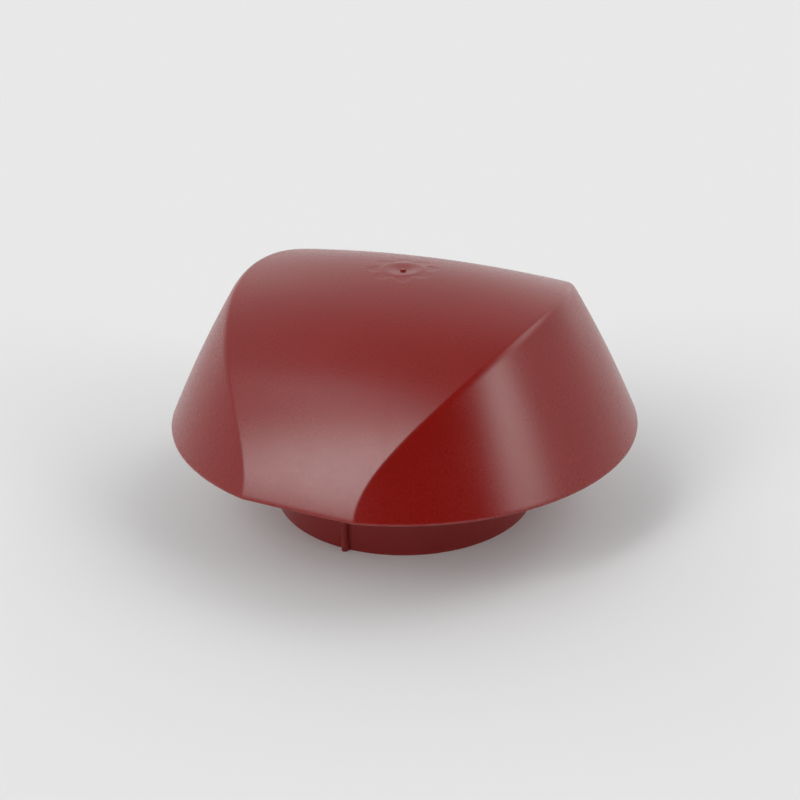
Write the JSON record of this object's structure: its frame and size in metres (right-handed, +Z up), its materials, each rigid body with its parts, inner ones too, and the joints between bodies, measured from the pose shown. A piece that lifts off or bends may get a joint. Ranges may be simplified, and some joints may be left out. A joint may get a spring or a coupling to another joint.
{
  "type": "roof vent cap",
  "caption": "Moulded plastic rain cap for a vent pipe: a conical hood cut by a barrel-shaped crown, on a pipe collar.",
  "frame": {"origin": "on the axis, level with the collar's lower edge", "axes": "+Z up along the pipe; the hood's ridge runs along X; the straight lower edges lie at -Y and +Y"},
  "size_m": [0.204, 0.1988, 0.105],
  "materials": {
    "hood_plastic": "brick red, fine matt grain with a soft sheen",
    "collar_plastic": "brick red, a little duller than the hood"
  },
  "bodies": {
    "root": {"hood": "hood_plastic", "collar": "collar_plastic"}
  },
  "joints": []
}
